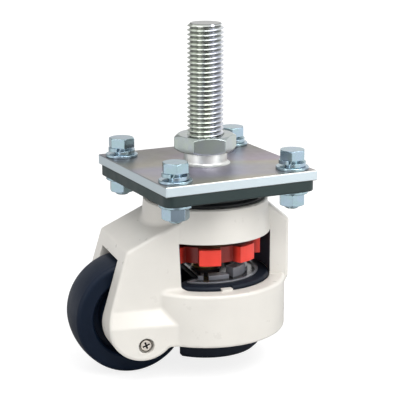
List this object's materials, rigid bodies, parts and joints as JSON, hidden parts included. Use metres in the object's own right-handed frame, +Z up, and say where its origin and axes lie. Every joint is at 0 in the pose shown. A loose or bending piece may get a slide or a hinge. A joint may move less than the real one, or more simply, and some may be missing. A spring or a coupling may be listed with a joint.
{
  "type": "levelling castor",
  "caption": "Swivel castor whose cast housing carries a nylon wheel and a screw-down rubber levelling foot, bolted to a square plate with a threaded stud.",
  "frame": {"origin": "centre of the mounting plate's top face, on the swivel axis, where the stud stands", "axes": "+Z up the stud; at rest the wheel lies towards -X and its axle runs along Y"},
  "size_m": [0.1289, 0.1008, 0.1905],
  "materials": {
    "plate_zinc": "zinc plated, bright",
    "stud_zinc": "zinc plated, bright",
    "lock_nut_zinc": "zinc plated, satin",
    "bolt_zinc": "zinc plated, bright",
    "swivel_plate": "dark coated, matte",
    "seal_rubber": "matte",
    "cast_housing": "powder coated, fine orange peel",
    "bearing_steel": "ground",
    "bush_plastic": "moulded",
    "brass_nut": "machined",
    "spindle_brass": "machined thread",
    "adjuster_red": "moulded, satin",
    "foot_core": "moulded, satin",
    "foot_rubber": "matte",
    "wheel_nylon": "moulded, satin",
    "keeper_block": "zinc plated",
    "keeper_screw": "nickel plated, dull"
  },
  "bodies": {
    "plate": {"mounting_plate": "plate_zinc", "stud": "stud_zinc", "lock_nut": "lock_nut_zinc", "swivel_plate": "swivel_plate", "king": "bearing_steel", "dust_seal": "seal_rubber", "plate_bolt_left": "bolt_zinc", "plate_bolt_front": "bolt_zinc", "plate_bolt_right": "bolt_zinc", "plate_bolt_back": "bolt_zinc", "spring_washer_left": "bolt_zinc", "spring_washer_front": "bolt_zinc", "spring_washer_right": "bolt_zinc", "spring_washer_back": "bolt_zinc", "upper_washer_left": "bolt_zinc", "upper_washer_front": "bolt_zinc", "upper_washer_right": "bolt_zinc", "upper_washer_back": "bolt_zinc", "lower_washer_left": "bolt_zinc", "lower_washer_front": "bolt_zinc", "lower_washer_right": "bolt_zinc", "lower_washer_back": "bolt_zinc", "plate_nut_left": "bolt_zinc", "plate_nut_front": "bolt_zinc", "plate_nut_right": "bolt_zinc", "plate_nut_back": "bolt_zinc"},
    "housing": {"housing": "cast_housing", "swivel_race": "bearing_steel", "swivel_balls": "bearing_steel", "adjuster_bush": "bush_plastic", "adjuster_washer": "bush_plastic", "axle": "bearing_steel", "bearing_spacer": "bearing_steel", "axle_washer_left": "bush_plastic", "axle_washer_right": "bush_plastic", "bearing_inner_left": "bearing_steel", "bearing_inner_right": "bearing_steel", "keeper_block_left": "keeper_block", "keeper_block_right": "keeper_block", "keeper_screw_left": "keeper_screw", "keeper_screw_right": "keeper_screw"},
    "wheel": {"wheel": "wheel_nylon", "bearing_outer_left": "bearing_steel", "bearing_outer_right": "bearing_steel", "bearing_shield_left": "bearing_steel", "bearing_shield_right": "bearing_steel", "bearing_balls_left": "bearing_steel", "bearing_balls_right": "bearing_steel"},
    "foot": {"foot_core": "foot_core", "foot_pad": "foot_rubber", "spindle": "spindle_brass", "spindle_washer": "bush_plastic", "spindle_clip": "bearing_steel"},
    "adjuster": {"adjuster_ring": "adjuster_red", "adjuster_nut": "brass_nut", "adjuster_clip": "bearing_steel"}
  },
  "joints": [
    {"name": "swivel", "type": "hinge", "parent": "plate", "child": "housing", "pos_m": [0, 0, 0], "axis": [0, 0, 1], "continuous": true},
    {"name": "wheel_spin", "type": "hinge", "parent": "housing", "child": "wheel", "pos_m": [-0.046, 0, -0.081], "axis": [0, 1, 0], "continuous": true},
    {"name": "foot_slide", "type": "slide", "parent": "housing", "child": "foot", "axis": [0, 0, -1], "range_m": [0, 0.012]},
    {"name": "adjuster_turn", "type": "hinge", "parent": "housing", "child": "adjuster", "pos_m": [0, 0, 0], "axis": [0, 0, 1], "range_deg": [0, 2160]}
  ],
  "couplings": [
    {"joint": "adjuster_turn", "follows": "foot_slide", "rad_per_m": 3141.6}
  ]
}
